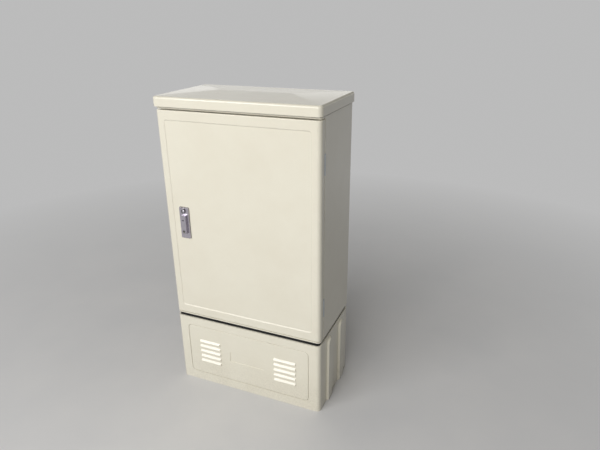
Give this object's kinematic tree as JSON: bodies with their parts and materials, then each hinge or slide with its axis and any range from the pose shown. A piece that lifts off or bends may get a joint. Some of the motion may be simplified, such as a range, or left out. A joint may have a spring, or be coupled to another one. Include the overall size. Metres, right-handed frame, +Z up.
{
  "type": "roadside utility cabinet",
  "caption": "Floor-standing moulded cabinet on a louvred plinth, with a hinged door, a swing-handle rod lock and sliding fibre trays inside.",
  "frame": {"origin": "centre of the four anchor holes, on the floor", "axes": "+X to the right seen from the front, +Y to the back, +Z up; the door faces -Y"},
  "size_m": [0.586, 0.3188, 1.0845],
  "materials": {
    "shell": "glossy moulded polyester",
    "liner": "satin moulded polyester",
    "rubber": "matt",
    "zinc_steel": "zinc plated",
    "chrome": "satin chrome",
    "lock_steel": "turned steel",
    "painted_steel": "powder coat",
    "green_plastic": "moulded",
    "white_plastic": "moulded",
    "navy_plastic": "moulded",
    "grey_plastic": "moulded",
    "beige_plastic": "moulded",
    "brass": "bare",
    "paper": "printed sheet in film"
  },
  "bodies": {
    "cabinet": {"base_shell": "shell", "base_front_cover": "shell", "base_cover_clips": "zinc_steel", "base_gasket": "rubber", "base_bolts": "zinc_steel", "body_shell": "shell", "roof_cap": "shell", "roof_screws": "zinc_steel", "entry_plate": "zinc_steel", "entry_grommets": "rubber", "frame_fittings": "zinc_steel", "hinge_pins": "zinc_steel", "equipment_frame": "painted_steel", "fixing_plate": "painted_steel", "earth_bar": "brass", "module_case": "green_plastic", "parking_plugs": "navy_plastic", "fibre_reel": "grey_plastic", "cable_combs": "beige_plastic", "cable_rings": "grey_plastic"},
    "door": {"door_skin": "shell", "door_liner": "liner", "door_gasket": "rubber", "door_hinge_leaves": "zinc_steel", "document_sheets": "paper", "lock_plate": "chrome", "lock_housing": "zinc_steel", "rod_guides": "grey_plastic", "hook_brackets": "zinc_steel"},
    "spindle": {"lock_spindle": "lock_steel"},
    "handle": {"lock_handle": "chrome"},
    "upper_rod": {"upper_rod": "zinc_steel"},
    "lower_rod": {"lower_rod": "zinc_steel"},
    "key_barrel": {"key_barrel": "chrome"},
    "key_cover": {"key_cover": "chrome"},
    "stay": {"wind_hook": "zinc_steel"},
    "tray_01": {"tray_01": "green_plastic", "adapters_01": "white_plastic"},
    "tray_02": {"tray_02": "green_plastic", "adapters_02": "white_plastic"},
    "tray_03": {"tray_03": "green_plastic", "adapters_03": "white_plastic"},
    "tray_04": {"tray_04": "green_plastic", "adapters_04": "white_plastic"},
    "tray_05": {"tray_05": "green_plastic", "adapters_05": "white_plastic"},
    "tray_06": {"tray_06": "green_plastic", "adapters_06": "white_plastic"},
    "tray_07": {"tray_07": "green_plastic", "adapters_07": "white_plastic"},
    "tray_08": {"tray_08": "green_plastic", "adapters_08": "white_plastic"},
    "tray_09": {"tray_09": "green_plastic", "adapters_09": "white_plastic"},
    "tray_10": {"tray_10": "green_plastic", "adapters_10": "white_plastic"},
    "tray_11": {"tray_11": "green_plastic", "adapters_11": "white_plastic"},
    "tray_12": {"tray_12": "green_plastic", "adapters_12": "white_plastic"}
  },
  "joints": [
    {"name": "door_hinge", "type": "hinge", "parent": "cabinet", "child": "door", "pos_m": [0.2845, -0.1172, 0.6645], "axis": [0, 0, 1], "range_deg": [0, 115]},
    {"name": "handle_turn", "type": "hinge", "parent": "door", "child": "spindle", "pos_m": [-0.21, -0.15, 0.625], "axis": [0, 1, 0], "range_deg": [0, 90]},
    {"name": "handle_lift", "type": "hinge", "parent": "spindle", "child": "handle", "pos_m": [-0.21, -0.15615, 0.622], "axis": [1, 0, 0], "range_deg": [0, 35]},
    {"name": "upper_rod_slide", "type": "slide", "parent": "door", "child": "upper_rod", "axis": [0, 0, -1], "range_m": [0, 0.0227]},
    {"name": "lower_rod_slide", "type": "slide", "parent": "door", "child": "lower_rod", "axis": [0, 0, 1], "range_m": [0, 0.0227]},
    {"name": "key_turn", "type": "hinge", "parent": "door", "child": "key_barrel", "pos_m": [-0.21, -0.148, 0.698], "axis": [0, 1, 0], "range_deg": [0, 90]},
    {"name": "key_cover_swing", "type": "hinge", "parent": "door", "child": "key_cover", "pos_m": [-0.21, -0.1534, 0.7065], "axis": [0, 1, 0], "range_deg": [-110, 110]},
    {"name": "stay_swing", "type": "hinge", "parent": "door", "child": "stay", "pos_m": [0.178, -0.114, 0.32], "axis": [0, 0, 1], "range_deg": [-120, 0]},
    {"name": "tray_slide_01", "type": "slide", "parent": "cabinet", "child": "tray_01", "axis": [0, -1, 0], "range_m": [0, 0.06]},
    {"name": "tray_slide_02", "type": "slide", "parent": "cabinet", "child": "tray_02", "axis": [0, -1, 0], "range_m": [0, 0.06]},
    {"name": "tray_slide_03", "type": "slide", "parent": "cabinet", "child": "tray_03", "axis": [0, -1, 0], "range_m": [0, 0.06]},
    {"name": "tray_slide_04", "type": "slide", "parent": "cabinet", "child": "tray_04", "axis": [0, -1, 0], "range_m": [0, 0.06]},
    {"name": "tray_slide_05", "type": "slide", "parent": "cabinet", "child": "tray_05", "axis": [0, -1, 0], "range_m": [0, 0.06]},
    {"name": "tray_slide_06", "type": "slide", "parent": "cabinet", "child": "tray_06", "axis": [0, -1, 0], "range_m": [0, 0.06]},
    {"name": "tray_slide_07", "type": "slide", "parent": "cabinet", "child": "tray_07", "axis": [0, -1, 0], "range_m": [0, 0.06]},
    {"name": "tray_slide_08", "type": "slide", "parent": "cabinet", "child": "tray_08", "axis": [0, -1, 0], "range_m": [0, 0.06]},
    {"name": "tray_slide_09", "type": "slide", "parent": "cabinet", "child": "tray_09", "axis": [0, -1, 0], "range_m": [0, 0.06]},
    {"name": "tray_slide_10", "type": "slide", "parent": "cabinet", "child": "tray_10", "axis": [0, -1, 0], "range_m": [0, 0.06]},
    {"name": "tray_slide_11", "type": "slide", "parent": "cabinet", "child": "tray_11", "axis": [0, -1, 0], "range_m": [0, 0.06]},
    {"name": "tray_slide_12", "type": "slide", "parent": "cabinet", "child": "tray_12", "axis": [0, -1, 0], "range_m": [0, 0.06]}
  ],
  "couplings": [
    {"joint": "upper_rod_slide", "follows": "handle_turn", "m_per_rad": 0.0144},
    {"joint": "lower_rod_slide", "follows": "handle_turn", "m_per_rad": 0.0144}
  ]
}
